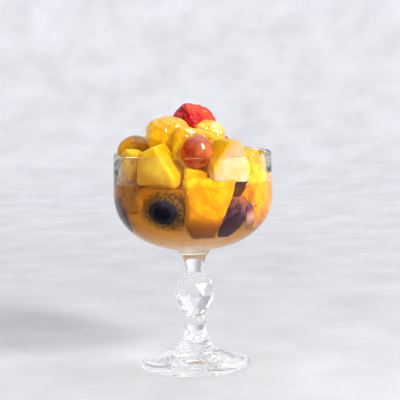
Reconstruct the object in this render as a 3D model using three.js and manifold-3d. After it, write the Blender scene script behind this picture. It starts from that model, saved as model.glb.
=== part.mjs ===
// A fruit cup: a stemmed coupe glass with a cut knob, heaped with cut fruit in amber juice.
// Millimetres, +Z up. The origin is the centre of the foot's underside; -Y is the front.

import * as THREE from 'three';
import { mergeVertices } from 'three/addons/utils/BufferGeometryUtils.js';
import Module from 'manifold-3d';

const wasm = await Module();
wasm.setup();

// ---------------------------------------------------------------- driving dimensions

const RIM_HEIGHT = 130.4;
const RIM_RADIUS = 47.5;
const RIM_WALL = 1.4;
const LIP = 0.5;

// The bowl bellies out a little below the rim, then closes along a superellipse.
const BELLY_RADIUS = 48;
const BELLY_HEIGHT = 106;
const BOWL_DEPTH = 34.9;
const BOWL_SQUARENESS = 2.2;
const BELLY_WALL = 1.8;
const BASE_WALL = 3.6;

const COLLAR_RADIUS = 12.8;
const COLLAR_HEIGHT = 72;
const NECK_RADIUS = 4.9;
const NECK_HEIGHT = 56;

const KNOB_RADIUS = 12.8;
const KNOB_TOP = 57;
const KNOB_BOTTOM = 30.5;
const KNOB_SIDES = 8;

const RING_RADIUS = 6.8;
const FLARE_SIDES = 6;
const FLARE_TOP = 22.4;

const FOOT_RADIUS = 33.1;
const FOOT_TOP = 10.4;
const FOOT_RING_INNER = 25;
const FOOT_RING_OUTER = 31.4;
const FOOT_HOLLOW = 1.6;
const FLUTES = 16;
const FLUTE_INNER = 3.5;
const FLUTE_OUTER = 12.5;
const FLUTE_RADIUS = 0.9;

const JUICE_LEVEL = 112.7;

// Touching pieces keep this gap, and so do the pieces and the glass.
const GAP = 0.35;

// Room for the heap above the rim.
const HEAP_ROOM = 40;

const BOWL_SEGMENTS = 48;
const FOOT_SEGMENTS = 36;
const RING_SEGMENTS = 24;
const OUTSIDE_STEPS = 8;
const INSIDE_STEPS = 8;
const NECK_STEPS = 6;
const FOOT_STEPS = 5;

// ---------------------------------------------------------------- colours and finishes

const finish = (color, roughness) => new THREE.MeshStandardMaterial({ color, roughness, metalness: 0 });

const FINISH = {
  glass: new THREE.MeshStandardMaterial({
    color: 0xf4f7f8, roughness: 0.03, metalness: 0, transparent: true, opacity: 0.25,
  }),
  juice: new THREE.MeshStandardMaterial({
    color: 0xd9962f, roughness: 0.06, metalness: 0, transparent: true, opacity: 0.7,
  }),
  mango: finish(0xf5a51c, 0.32),
  peach: finish(0xf6b534, 0.3),
  pear: finish(0xf2d45a, 0.3),
  apple: finish(0xf3e6b4, 0.35),
  nectarine: finish(0xd8442a, 0.25),
  plum: finish(0x4a1d33, 0.3),
  red_grape: finish(0xa8532f, 0.2),
  green_grape: finish(0xa9a02f, 0.2),
  dark_grape: finish(0x1f1d33, 0.3),
  melon: finish(0xb9b24a, 0.3),
};

// ---------------------------------------------------------------- solids

// A geometry with its positions only, and each shared vertex once.
function merged(geometry) {
  geometry.deleteAttribute('normal');
  geometry.deleteAttribute('uv');
  return mergeVertices(geometry, 1e-5);
}

// A closed geometry as a manifold solid.
function toSolid(geometry) {
  const { attributes, index } = merged(geometry);
  const mesh = new wasm.Mesh({
    numProp: 3,
    vertProperties: Float32Array.from(attributes.position.array),
    triVerts: Uint32Array.from(index.array),
  });
  return new wasm.Manifold(mesh);
}

function toGeometry(solid) {
  const mesh = solid.getMesh();
  const geometry = new THREE.BufferGeometry();
  geometry.setAttribute('position', new THREE.BufferAttribute(Float32Array.from(mesh.vertProperties), 3));
  geometry.setIndex(new THREE.BufferAttribute(Uint32Array.from(mesh.triVerts), 1));
  geometry.computeVertexNormals();
  return geometry;
}

function largestBody(solid) {
  const bodies = solid.decompose();
  bodies.sort((a, b) => b.volume() - a.volume());
  return bodies[0];
}

function placement(at, turnDegrees = [0, 0, 0]) {
  const angles = turnDegrees.map(THREE.MathUtils.degToRad);
  const rotation = new THREE.Quaternion().setFromEuler(new THREE.Euler(...angles, 'ZYX'));
  return new THREE.Matrix4().compose(new THREE.Vector3(...at), rotation, new THREE.Vector3(1, 1, 1));
}

// Cuts away what lies beyond a plane, given by its outward normal and its distance.
function cutBeyond(solid, normal, distance) {
  const [x, y, z] = new THREE.Vector3(...normal).normalize().toArray();
  return solid.trimByPlane([-x, -y, -z], -distance);
}

// Turns a profile of [radius, height] points about the Z axis. It starts and ends on the axis.
function turned(profile, segments) {
  const points = profile.map(([radius, height]) => new THREE.Vector2(radius, height));
  const lathe = new THREE.LatheGeometry(points, segments);
  lathe.rotateX(Math.PI / 2);
  return toSolid(lathe);
}

// A closed solid through polygon rings of { z, radius, turn }, where turn is in steps of one side.
function ringSolid(sides, rings) {
  const positions = [];
  const index = [];
  for (const { z, radius, turn } of rings) {
    for (let side = 0; side < sides; side += 1) {
      const angle = (2 * Math.PI * (side + turn)) / sides;
      positions.push(radius * Math.cos(angle), radius * Math.sin(angle), z);
    }
  }
  for (let ring = 0; ring + 1 < rings.length; ring += 1) {
    const leans = rings[ring].turn > rings[ring + 1].turn;
    for (let side = 0; side < sides; side += 1) {
      const next = (side + 1) % sides;
      const low = ring * sides;
      const high = low + sides;
      if (leans) {
        index.push(low + side, high + next, high + side, low + side, low + next, high + next);
      } else {
        index.push(low + side, low + next, high + side, low + next, high + next, high + side);
      }
    }
  }
  const last = (rings.length - 1) * sides;
  const bottomCentre = rings.length * sides;
  positions.push(0, 0, rings[0].z, 0, 0, rings[rings.length - 1].z);
  for (let side = 0; side < sides; side += 1) {
    const next = (side + 1) % sides;
    index.push(bottomCentre, next, side);
    index.push(bottomCentre + 1, last + side, last + next);
  }
  const geometry = new THREE.BufferGeometry();
  geometry.setAttribute('position', new THREE.Float32BufferAttribute(positions, 3));
  geometry.setIndex(index);
  return toSolid(geometry);
}

// ---------------------------------------------------------------- the glass

// Points down the bowl's superellipse, from its belly to the given radius.
function bowlCurve(bellyRadius, depth, endRadius, steps) {
  const power = 2 / BOWL_SQUARENESS;
  const endAngle = Math.asin((endRadius / bellyRadius) ** (1 / power));
  const points = [];
  for (let step = 0; step <= steps; step += 1) {
    const angle = Math.PI / 2 + ((endAngle - Math.PI / 2) * step) / steps;
    const radius = bellyRadius * Math.sin(angle) ** power;
    const height = BELLY_HEIGHT - depth * Math.max(Math.cos(angle), 0) ** power;
    points.push([radius, height]);
  }
  return points;
}

// The inside of the bowl, shrunk by a gap and closed with a lid at the given height.
function cavityProfile(gap, lid) {
  const wall = bowlCurve(BELLY_RADIUS - BELLY_WALL - gap, BOWL_DEPTH - BASE_WALL - gap, 0, INSIDE_STEPS);
  const rimRadius = RIM_RADIUS - RIM_WALL - gap;
  const share = Math.min((lid - BELLY_HEIGHT) / (RIM_HEIGHT - BELLY_HEIGHT), 1);
  const lidRadius = wall[0][0] + (rimRadius - wall[0][0]) * share;
  return [...wall.reverse(), [lidRadius, lid], [0, lid]];
}

// The bowl, with the solid collar and neck that carry it.
function makeBowl() {
  const neckCurve = new THREE.CubicBezierCurve(
    new THREE.Vector2(COLLAR_RADIUS, COLLAR_HEIGHT),
    new THREE.Vector2(8.4, 70.6),
    new THREE.Vector2(5.3, 64.5),
    new THREE.Vector2(NECK_RADIUS, NECK_HEIGHT),
  );
  const neck = neckCurve.getPoints(NECK_STEPS).map(({ x, y }) => [x, y]);
  const outside = bowlCurve(BELLY_RADIUS, BOWL_DEPTH, COLLAR_RADIUS + 1.5, OUTSIDE_STEPS);
  const inside = cavityProfile(0, RIM_HEIGHT - LIP).slice(0, -1);
  return turned([
    [0, NECK_HEIGHT],
    ...neck.reverse(),
    ...outside.reverse(),
    [RIM_RADIUS, RIM_HEIGHT - LIP],
    [RIM_RADIUS - RIM_WALL / 2, RIM_HEIGHT],
    ...inside.reverse(),
  ], BOWL_SEGMENTS);
}

// The cut ball, the plain ring under it and the six-sided flare that meets the foot.
// Each other ring of the ball is turned half a side, so that its facets are triangles.
function makeStem() {
  const knobHeight = KNOB_TOP - KNOB_BOTTOM;
  const knob = ringSolid(KNOB_SIDES, [
    { z: KNOB_BOTTOM, radius: RING_RADIUS - 1.2, turn: 0.5 },
    { z: KNOB_BOTTOM + 0.17 * knobHeight, radius: 0.78 * KNOB_RADIUS, turn: 0 },
    { z: KNOB_BOTTOM + 0.5 * knobHeight, radius: KNOB_RADIUS, turn: 0.5 },
    { z: KNOB_BOTTOM + 0.8 * knobHeight, radius: 0.8 * KNOB_RADIUS, turn: 0 },
    { z: KNOB_TOP - 0.7, radius: NECK_RADIUS + 0.9, turn: 0.5 },
    { z: KNOB_TOP + 0.6, radius: NECK_RADIUS + 0.3, turn: 0.5 },
  ]);
  const ring = turned([
    [0, FLARE_TOP - 0.8],
    [RING_RADIUS - 1, FLARE_TOP - 0.8],
    [RING_RADIUS - 0.2, FLARE_TOP + 1],
    [RING_RADIUS, FLARE_TOP + 3.6],
    [RING_RADIUS - 0.5, KNOB_BOTTOM - 2.1],
    [RING_RADIUS - 1.5, KNOB_BOTTOM - 0.9],
    [RING_RADIUS - 1.5, KNOB_BOTTOM + 0.9],
    [0, KNOB_BOTTOM + 0.9],
  ], RING_SEGMENTS);
  const flare = ringSolid(FLARE_SIDES, [
    { z: FOOT_TOP - 2, radius: 13.2, turn: 0 },
    { z: FOOT_TOP + 0.8, radius: 12, turn: 0 },
    { z: FOOT_TOP + 1.6, radius: 10.2, turn: 0 },
    { z: FOOT_TOP + 5.2, radius: 8.1, turn: 0 },
    { z: FLARE_TOP, radius: 6, turn: 0 },
  ]);
  return knob.add(ring).add(flare);
}

// The foot is hollow underneath, stands on a flat ring and has short flutes round its middle.
function makeFoot() {
  const topCurve = new THREE.CubicBezierCurve(
    new THREE.Vector2(FOOT_RADIUS - 0.6, 2.3),
    new THREE.Vector2(25, 5.2),
    new THREE.Vector2(17, 5.4),
    new THREE.Vector2(11.5, FOOT_TOP),
  );
  let foot = turned([
    [0, FOOT_HOLLOW],
    [FLUTE_OUTER + 2, FOOT_HOLLOW],
    [FOOT_RING_INNER, 0],
    [FOOT_RING_OUTER, 0],
    [FOOT_RADIUS - 0.3, 0.7],
    [FOOT_RADIUS, 1.5],
    ...topCurve.getPoints(FOOT_STEPS).map(({ x, y }) => [x, y]),
    [0, FOOT_TOP],
  ], FOOT_SEGMENTS);
  for (let flute = 0; flute < FLUTES; flute += 1) {
    const length = FLUTE_OUTER - FLUTE_INNER;
    const groove = new THREE.CylinderGeometry(FLUTE_RADIUS, 0.6 * FLUTE_RADIUS, length, 6);
    groove.rotateZ(-Math.PI / 2);
    groove.translate((FLUTE_INNER + FLUTE_OUTER) / 2, 0, FOOT_HOLLOW);
    groove.rotateZ((2 * Math.PI * (flute + 0.5)) / FLUTES);
    foot = foot.subtract(toSolid(groove));
  }
  return foot;
}

// ---------------------------------------------------------------- the fruit

// A seeded, smooth unevenness: the sum of three slow waves over the surface.
function unevenness(seed) {
  const waves = [1, 2, 3].map((k) => {
    const phase = (n) => 10 * Math.sin(seed * 12.9898 + k * 78.233 + n * 37.719);
    return { x: Math.sin(phase(1)), y: Math.sin(phase(2)), z: Math.sin(phase(3)), start: phase(4) };
  });
  return (v) => waves.reduce(
    (sum, wave) => sum + Math.sin(3 * (wave.x * v.x + wave.y * v.y + wave.z * v.z) + wave.start) / 3, 0,
  );
}

// Moves the vertices of a geometry that spans -1 to 1 onto a superellipsoid of the given size.
// A high squareness is a crisp cut block; 2 is an ellipsoid.
function shapeBlock(geometry, size, squareness, uneven, seed) {
  const wave = unevenness(seed);
  const positions = geometry.attributes.position;
  const v = new THREE.Vector3();
  for (let i = 0; i < positions.count; i += 1) {
    v.fromBufferAttribute(positions, i);
    const norm = Math.abs(v.x) ** squareness + Math.abs(v.y) ** squareness + Math.abs(v.z) ** squareness;
    v.multiplyScalar(norm ** (-1 / squareness));
    v.multiplyScalar(1 + uneven * wave(v));
    positions.setXYZ(i, (v.x * size[0]) / 2, (v.y * size[1]) / 2, (v.z * size[2]) / 2);
  }
  return geometry;
}

// A block cut from a fruit's flesh; cuts are planes [normal, distance] in the block's own frame.
function block({ size, cuts = [], squareness = 5, uneven = 0.07, detail = 3, seed }, grow) {
  const box = merged(new THREE.BoxGeometry(2, 2, 2, detail, detail, detail));
  let solid = toSolid(shapeBlock(box, size.map((side) => side + 2 * grow), squareness, uneven, seed));
  for (const [normal, distance] of cuts) {
    solid = cutBeyond(solid, normal, distance + grow);
  }
  return solid;
}

// A whole grape: an ellipsoid, a little uneven, its stem end upwards along its own Z axis.
function grape({ size, detail = 2, seed }, grow) {
  const ball = merged(new THREE.IcosahedronGeometry(1, detail));
  return toSolid(shapeBlock(ball, size.map((side) => side + 2 * grow), 2, 0.02, seed));
}

// A wedge of a stone fruit: the part of an ellipsoid within the wedge angle about the +Y side,
// with the hollow that the stone left along its inner edge.
function wedge({ size, angle, stone = 0, cuts = [], seed }, grow) {
  const ball = merged(new THREE.IcosahedronGeometry(1, 2));
  let solid = toSolid(shapeBlock(ball, size.map((side) => side + 2 * grow), 2, 0.03, seed));
  const half = THREE.MathUtils.degToRad(angle / 2);
  for (const side of [-1, 1]) {
    solid = cutBeyond(solid, [side * Math.cos(half), -Math.sin(half), 0], grow);
  }
  for (const [normal, distance] of cuts) {
    solid = cutBeyond(solid, normal, distance + grow);
  }
  if (stone > grow) {
    const pit = new THREE.IcosahedronGeometry(stone - grow, 2);
    pit.scale(1, 1, 1.35);
    solid = solid.subtract(toSolid(pit));
  }
  return solid;
}

// The pieces that show, from the top of the heap down, the front before the back. at is the
// centre (of a wedge, its inner edge); turn is in degrees about X, then Y, then Z.
const PIECES = [
  { name: 'red_grape', of: 'red_grape', make: grape, seed: 2,
    at: [3, -35, 132.8], turn: [8, 12, 0], size: [19, 18.4, 20.4], detail: 3 },
  { name: 'golden_grape', of: 'green_grape', make: grape, seed: 3,
    at: [-34.6, 1, 130.9], turn: [0, 78, 12], size: [20, 20.4, 21.8], detail: 3 },
  { name: 'apple_chunk', of: 'apple', make: block, seed: 4, squareness: 7,
    at: [20.2, -32.4, 127.8], turn: [6, 2, 22], size: [24, 18, 23.5],
    cuts: [[[-0.85, -0.25, 0.62], 9.6], [[1, 0, 0.42], 10.2]] },
  { name: 'pear_chunk', of: 'pear', make: block, seed: 5, squareness: 7,
    at: [-18.2, -33.6, 125.6], turn: [6, 6, -22], size: [25, 15, 23.5],
    cuts: [[[0.8, -0.1, 0.66], 6], [[-0.5, 0, 0.9], 11.2]] },
  { name: 'mango_lump', of: 'peach', make: block, seed: 6, squareness: 2.7, uneven: 0.09,
    at: [-13.8, -11, 139.4], turn: [0, -12, 14], size: [25.5, 24, 26] },
  { name: 'peach_lump', of: 'peach', make: block, seed: 7, squareness: 3, uneven: 0.08,
    at: [9.8, -6, 139.8], turn: [0, 18, -8], size: [20.5, 20, 19.5] },
  { name: 'nectarine_wedge', of: 'nectarine', make: wedge, seed: 1,
    at: [0.2, -8.2, 150.1], turn: [-28, -19, 9], size: [34, 31, 23.4], angle: 122, stone: 4.5,
    cuts: [[[0, 0, -1], 8], [[0, 1, 0], 13]], nests: true },
  { name: 'mango_stick', of: 'mango', make: block, seed: 8, squareness: 4,
    at: [-35.2, -20.5, 123.4], turn: [4, 6, -32], size: [13, 13, 21],
    cuts: [[[0.7, 0, 0.8], 9.6], [[-0.7, -0.3, -0.7], 9]] },
  { name: 'mango_wedge_front', of: 'mango', make: block, seed: 9, squareness: 6,
    at: [9.8, -32, 101.5], turn: [4, -2, 14], size: [31, 21, 34],
    cuts: [[[0.92, -0.1, -0.39], 9], [[-0.8, 0, -0.6], 18]] },
  { name: 'mango_slab', of: 'mango', make: block, seed: 12, squareness: 4,
    at: [1.6, -34, 119.6], turn: [8, 14, 8], size: [13, 11, 6.5] },
  { name: 'plum_wedge', of: 'plum', make: wedge, seed: 13,
    at: [14.2, -22.4, 97], turn: [4, -12, 214], size: [36, 36, 34], angle: 60,
    cuts: [[[0, -1, 0], -6]] },
  { name: 'plum_slice', of: 'plum', make: wedge, seed: 14,
    at: [27.5, -22, 92.5], turn: [6, 8, 222], size: [24, 28, 25], angle: 50,
    cuts: [[[0, -1, 0], -4]] },
  { name: 'mango_chunk_right', of: 'mango', make: block, seed: 10, squareness: 5,
    at: [37, -17, 102.5], turn: [10, 10, 56], size: [24, 16, 31],
    cuts: [[[-0.7, 0, 0.7], 12.5], [[-0.8, 0, -0.6], 11]] },
  { name: 'dark_grape', of: 'dark_grape', make: grape, seed: 15,
    at: [-14.6, -34.4, 100.6], turn: [0, 0, -24], size: [22, 18, 17] },
  { name: 'mango_left', of: 'mango', make: block, seed: 16, squareness: 5,
    at: [-33.5, -24, 107], turn: [0, 8, -36], size: [17, 15, 18] },
  { name: 'plum_crescent', of: 'plum', make: wedge, seed: 17,
    at: [-27, -7, 94], turn: [6, 8, 104], size: [34, 36, 30], angle: 60,
    cuts: [[[0, -1, 0], -7]] },
  { name: 'mango_sliver', of: 'mango', make: block, seed: 18, squareness: 4,
    at: [12.4, -24, 131.5], turn: [0, 12, 10], size: [11, 12, 20] },
  { name: 'plum_behind', of: 'plum', make: block, seed: 19, squareness: 3,
    at: [8, -24, 119], turn: [0, 4, 0], size: [16, 14, 12] },
  { name: 'plum_gap', of: 'plum', make: block, seed: 20, squareness: 3,
    at: [23.6, -25.5, 112.6], turn: [0, -6, 24], size: [15, 16, 12] },
  { name: 'mango_chip', of: 'mango', make: block, seed: 21, squareness: 4,
    at: [31.5, -14, 123], turn: [8, -10, 40], size: [14, 12, 18] },
  { name: 'melon_chunk', of: 'melon', make: block, seed: 22, squareness: 4,
    at: [37.4, -1, 121.4], turn: [0, 6, 80], size: [18, 14, 18] },
  { name: 'mango_centre', of: 'peach', make: block, seed: 11, squareness: 5,
    at: [-3.8, -19, 128.6], turn: [0, 16, 12], size: [22, 22, 35] },
  { name: 'mango_back_left', of: 'mango', make: block, seed: 23, squareness: 5,
    at: [-25, 24, 126], turn: [0, -8, 42], size: [25, 20, 25],
    cuts: [[[0.6, 0, 0.8], 12.5]] },
  { name: 'apple_back', of: 'apple', make: block, seed: 24, squareness: 7,
    at: [-1, 33, 125.5], turn: [-6, 8, 4], size: [25, 17, 25],
    cuts: [[[0.8, 0, 0.62], 11]] },
  { name: 'peach_back', of: 'peach', make: block, seed: 25, squareness: 3, uneven: 0.08,
    at: [-6, 12, 134], turn: [10, 6, 30], size: [27, 22, 26] },
  { name: 'red_grape_back', of: 'red_grape', make: grape, seed: 26,
    at: [15, 15, 131], turn: [20, 60, 30], size: [18.6, 18, 20] },
  { name: 'green_grape_back', of: 'green_grape', make: grape, seed: 27,
    at: [19, 31, 117], turn: [80, 10, 30], size: [19, 19, 21] },
  { name: 'mango_low_back', of: 'mango', make: block, seed: 28, squareness: 5,
    at: [-20, 31, 101], turn: [6, 0, -34], size: [28, 20, 25] },
  { name: 'plum_low_back', of: 'plum', make: wedge, seed: 29,
    at: [4, 22, 96], turn: [0, 24, 6], size: [34, 40, 34], angle: 60,
    cuts: [[[0, -1, 0], -6]] },
  { name: 'pear_low_back', of: 'pear', make: block, seed: 30, squareness: 6,
    at: [26, 25, 103], turn: [0, 10, 38], size: [24, 18, 22] },
  { name: 'peach_low_left', of: 'peach', make: block, seed: 31, squareness: 4,
    at: [-37.5, 12, 111], turn: [0, 4, 72], size: [22, 15, 19] },
  { name: 'mango_low_right', of: 'mango', make: block, seed: 32, squareness: 5,
    at: [38.5, 5, 104], turn: [0, -8, 84], size: [20, 14, 18] },
  { name: 'mango_under_right', of: 'mango', make: block, seed: 33, squareness: 5,
    at: [15, -6, 122.5], turn: [0, -10, 24], size: [24, 21, 19] },
  { name: 'peach_under_back', of: 'peach', make: block, seed: 34, squareness: 4,
    at: [4, 11, 115], turn: [4, 8, -10], size: [34, 22, 19] },
  { name: 'mango_under_left', of: 'mango', make: block, seed: 35, squareness: 5,
    at: [-20, 0, 119], turn: [0, -6, 30], size: [24, 22, 19] },
];

function placedSolid(piece, grow) {
  const solid = piece.make(piece, grow);
  return solid.transform(placement(piece.at, piece.turn).elements);
}

// Directions spread evenly over the sphere, tried as the normals of a flat contact face.
const CUT_CHOICES = 90;
const CUT_DIRECTIONS = Array.from({ length: CUT_CHOICES }, (_, i) => {
  const z = 1 - (2 * i + 1) / CUT_CHOICES;
  const angle = i * Math.PI * (3 - Math.sqrt(5));
  const ring = Math.sqrt(1 - z * z);
  return [ring * Math.cos(angle), ring * Math.sin(angle), z];
});

// Where a piece would press into a neighbour it gets a flat face, by the cut that costs it least.
function giveWay(solid, neighbour) {
  const overlap = solid.intersect(neighbour);
  if (overlap.isEmpty() || overlap.volume() < 1e-4) {
    return solid;
  }
  const { vertProperties } = overlap.getMesh();
  let best = null;
  for (const [x, y, z] of CUT_DIRECTIONS) {
    let reach = -Infinity;
    for (let i = 0; i < vertProperties.length; i += 3) {
      reach = Math.max(reach, x * vertProperties[i] + y * vertProperties[i + 1] + z * vertProperties[i + 2]);
    }
    const rest = solid.trimByPlane([x, y, z], reach);
    if (!best || rest.volume() > best.volume()) {
      best = rest;
    }
  }
  return best;
}

// Each piece in turn, kept inside the room and clear of the pieces before it.
function makeFruit(room) {
  const shapes = [];
  const taken = [];
  for (const piece of PIECES) {
    let solid = placedSolid(piece, 0);
    for (const grown of taken) {
      solid = piece.nests ? solid.subtract(grown) : giveWay(solid, grown);
    }
    shapes.push({ ...piece, solid: largestBody(solid.intersect(room)) });
    taken.push(placedSolid(piece, GAP));
  }
  return { shapes, taken };
}

// ---------------------------------------------------------------- assembly

const fruitCup = new THREE.Group();

function addNode(name, solid, material) {
  const mesh = new THREE.Mesh(toGeometry(solid), material);
  mesh.name = name;
  fruitCup.add(mesh);
}

addNode('glass', makeBowl().add(makeStem()).add(makeFoot()), FINISH.glass);

const room = turned(cavityProfile(GAP, RIM_HEIGHT + HEAP_ROOM), BOWL_SEGMENTS);
const { shapes, taken } = makeFruit(room);
for (const { name, of, solid } of shapes) {
  addNode(name, solid, FINISH[of]);
}

const juice = taken.reduce(
  (rest, grown) => rest.subtract(grown), turned(cavityProfile(GAP, JUICE_LEVEL), BOWL_SEGMENTS),
);
addNode('juice', largestBody(juice), FINISH.juice);

export default fruitCup;
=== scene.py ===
# %% [markdown]
# # A fruit cup in a stemmed coupe
# A pressed coupe glass with a cut knob is heaped with pieces of fruit in cloudy amber juice.
# This lesson dresses a finished CAD model of it: the CAD holds the true places and sizes, and
# each piece is modelled again here as by hand, in the same frame, with its own procedural finish.
# The first cell loads that frame.

# %% Load the frame
import math
from functools import partial

import bpy
from mathutils import Euler, Matrix, Vector


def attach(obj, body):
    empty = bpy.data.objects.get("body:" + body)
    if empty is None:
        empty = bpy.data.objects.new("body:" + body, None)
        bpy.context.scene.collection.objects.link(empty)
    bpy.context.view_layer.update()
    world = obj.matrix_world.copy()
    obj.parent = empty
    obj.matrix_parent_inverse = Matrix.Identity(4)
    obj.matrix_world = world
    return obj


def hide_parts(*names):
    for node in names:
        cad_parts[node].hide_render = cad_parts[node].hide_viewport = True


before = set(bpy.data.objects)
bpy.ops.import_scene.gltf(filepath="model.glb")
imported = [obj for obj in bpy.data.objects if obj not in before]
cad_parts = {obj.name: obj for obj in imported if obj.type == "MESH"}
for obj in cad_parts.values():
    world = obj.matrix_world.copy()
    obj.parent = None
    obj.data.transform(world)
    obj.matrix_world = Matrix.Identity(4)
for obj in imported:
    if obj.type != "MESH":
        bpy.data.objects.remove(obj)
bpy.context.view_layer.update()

# %% [markdown]
# ## Working as by hand
# Blender's operators act on whatever is selected, and a freshly loaded frame leaves everything
# selected. So each step below first clears the selection. All sizes are typed in millimetres, as on
# a drawing, and turned into Blender's metres in one place.

# %% Millimetres, selection and edit mode
MM = 0.001


def mm(values):
    return Vector(values) * MM


def deselect_everything():
    if bpy.context.mode != "OBJECT":
        bpy.ops.object.mode_set(mode="OBJECT")
    bpy.ops.object.select_all(action="DESELECT")


def pick(piece):
    deselect_everything()
    piece.select_set(True)
    bpy.context.view_layer.objects.active = piece
    return piece


def start_editing(piece, select="SELECT"):
    pick(piece)
    bpy.ops.object.mode_set(mode="EDIT")
    bpy.ops.mesh.select_all(action=select)


def finish_editing():
    bpy.ops.object.mode_set(mode="OBJECT")
    return bpy.context.object


def name_it(name):
    piece = bpy.context.object
    piece.name = piece.data.name = name
    return piece


def settle(piece):
    """Puts the piece's place, turn and scale into its mesh, so that its object sits at the origin."""
    pick(piece)
    bpy.ops.object.transform_apply(location=True, rotation=True, scale=True)
    return piece


print("one millimetre is", MM, "metres")

# %% [markdown]
# ## Modifiers, applied at once
# A modifier is added, set and applied in one go. Booleans join or cut pieces, Remesh gives a chunk
# an even skin of small squares, and Displace pushes that skin in and out by a cloud texture.

# %% Modifiers
def modify(piece, kind, **settings):
    pick(piece)
    bpy.ops.object.modifier_add(type=kind)
    modifier = piece.modifiers[-1]
    for name, value in settings.items():
        setattr(modifier, name, value)
    bpy.ops.object.modifier_apply(modifier=modifier.name)
    return piece


def combine(piece, other, operation, keep=False):
    modify(piece, "BOOLEAN", object=other, operation=operation, solver="MANIFOLD")
    if not keep:
        bpy.data.objects.remove(other)
    return piece


def clouds(scale):
    texture = bpy.data.textures.new(f"clouds_{scale}", "CLOUDS")
    texture.noise_scale = scale * MM
    texture.noise_depth = 2
    return texture


def roughen(piece, scale, strength):
    return modify(piece, "DISPLACE", texture=clouds(scale), texture_coords="GLOBAL",
                  strength=strength * MM, mid_level=0.5)


def report(piece):
    low = [round(min(v.co[k] for v in piece.data.vertices) / MM, 1) for k in range(3)]
    high = [round(max(v.co[k] for v in piece.data.vertices) / MM, 1) for k in range(3)]
    print(f"{piece.name}: {len(piece.data.polygons)} faces, from {low} to {high} mm")


print("booleans, remesh and displace are ready")

# %% [markdown]
# ## Profiles that are spun
# A glass is blown or pressed round an axis, so its bowl, foot and ring are profiles spun round Z.
# By hand one would extrude a single vertex from point to point and then spin the line it leaves.
# The bowl's own curve is a superellipse: a circle would be too round, and a box too square.

# %% Draw a profile and spin it
def spin_profile(name, points, steps):
    deselect_everything()
    first = Vector((points[0][0], 0, points[0][1])) * MM
    bpy.ops.mesh.primitive_plane_add(size=MM)
    piece = name_it(name)
    start_editing(piece)
    bpy.ops.mesh.merge(type="CENTER")
    bpy.ops.transform.translate(value=first)
    for (radius, height), (next_radius, next_height) in zip(points, points[1:]):
        step = Vector((next_radius - radius, 0, next_height - height)) * MM
        bpy.ops.mesh.extrude_region_move(TRANSFORM_OT_translate={"value": step})
    bpy.ops.mesh.select_all(action="SELECT")
    bpy.ops.mesh.spin(steps=steps, angle=2 * math.pi, center=(0, 0, 0), axis=(0, 0, 1))
    bpy.ops.mesh.select_all(action="SELECT")
    bpy.ops.mesh.remove_doubles(threshold=0.002 * MM)
    bpy.ops.mesh.normals_make_consistent(inside=False)
    return finish_editing()


def bezier(start, pull_start, pull_end, end, steps):
    """Points along a cubic Bezier curve, both ends included."""
    line = []
    for step in range(steps + 1):
        t = step / steps
        share = ((1 - t) ** 3, 3 * t * (1 - t) ** 2, 3 * t * t * (1 - t), t ** 3)
        corners = (start, pull_start, pull_end, end)
        line.append(tuple(sum(s * c[k] for s, c in zip(share, corners)) for k in (0, 1)))
    return line


print("a profile is a list of (radius, height) points")

# %% The glass in numbers
RIM_HEIGHT = 130.4
RIM_RADIUS = 47.5
RIM_WALL = 1.4
BELLY_RADIUS = 48
BELLY_HEIGHT = 106
BOWL_DEPTH = 34.9
BOWL_SQUARENESS = 2.2
BELLY_WALL = 1.8
BASE_WALL = 3.6
JUICE_LEVEL = 112.7
SPIN_STEPS = 128


def bowl_curve(belly_radius, depth, end_radius, steps):
    """Points down the bowl's superellipse, from its belly to the given radius."""
    power = 2 / BOWL_SQUARENESS
    end = math.asin((end_radius / belly_radius) ** (1 / power))
    angles = [math.pi / 2 + (end - math.pi / 2) * step / steps for step in range(steps + 1)]
    return [(belly_radius * math.sin(a) ** power,
             BELLY_HEIGHT - depth * max(math.cos(a), 0) ** power) for a in angles]


def cavity_curve(gap, lid, steps=36):
    """The inside of the bowl from the bottom up to a lid. A gap above 0 stays clear of the glass."""
    wall = bowl_curve(BELLY_RADIUS - BELLY_WALL - gap, BOWL_DEPTH - BASE_WALL - gap, 0, steps)
    share = (lid - BELLY_HEIGHT) / (RIM_HEIGHT - BELLY_HEIGHT)
    lid_radius = wall[0][0] + (RIM_RADIUS - RIM_WALL - gap - wall[0][0]) * min(share, 1)
    return wall[::-1] + [(lid_radius, lid)]


print("the bowl holds juice to", JUICE_LEVEL, "mm and its rim stands at", RIM_HEIGHT, "mm")

# %% [markdown]
# ## The bowl, collar and neck
# The bowl is thin at the rim and thick at its base, where the collar draws down to the neck. Its
# inside and outside are drawn as one closed line, so that the wall has its true thickness: glass
# only bends light rightly when it has both faces. The rim is fire-polished to a round lip.

# %% Spin the bowl
NECK_RADIUS = 4.9
NECK_HEIGHT = 56
COLLAR = (12.8, 72)


def make_bowl():
    lip = RIM_WALL / 2
    lip_steps = 8
    rim = [(RIM_RADIUS - lip + lip * math.cos(math.pi * step / lip_steps),
            RIM_HEIGHT - lip + lip * math.sin(math.pi * step / lip_steps))
           for step in range(lip_steps + 1)]
    neck = bezier(COLLAR, (8.4, 70.6), (5.3, 64.5), (NECK_RADIUS, NECK_HEIGHT), 18)
    outside = bowl_curve(BELLY_RADIUS, BOWL_DEPTH, COLLAR[0] + 1.5, 30)
    inside = cavity_curve(0, RIM_HEIGHT - lip)[:-1]
    profile = [(0, NECK_HEIGHT), *neck[::-1], *outside[::-1], *rim, *inside[::-1]]
    return spin_profile("bowl", profile, SPIN_STEPS)


glass = make_bowl()
report(glass)

# %% [markdown]
# ## The cut knob and the flare
# The ball in the stem is cut into flat triangles that sparkle. It starts as an eight-sided disc
# that is extruded upwards, each ring scaled and turned half a side, and the twisted squares between
# two rings are split into triangles. The flare below it is six-sided and isn't turned. A hair-thin
# bevel on their edges catches the light as polished edges do.

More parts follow.
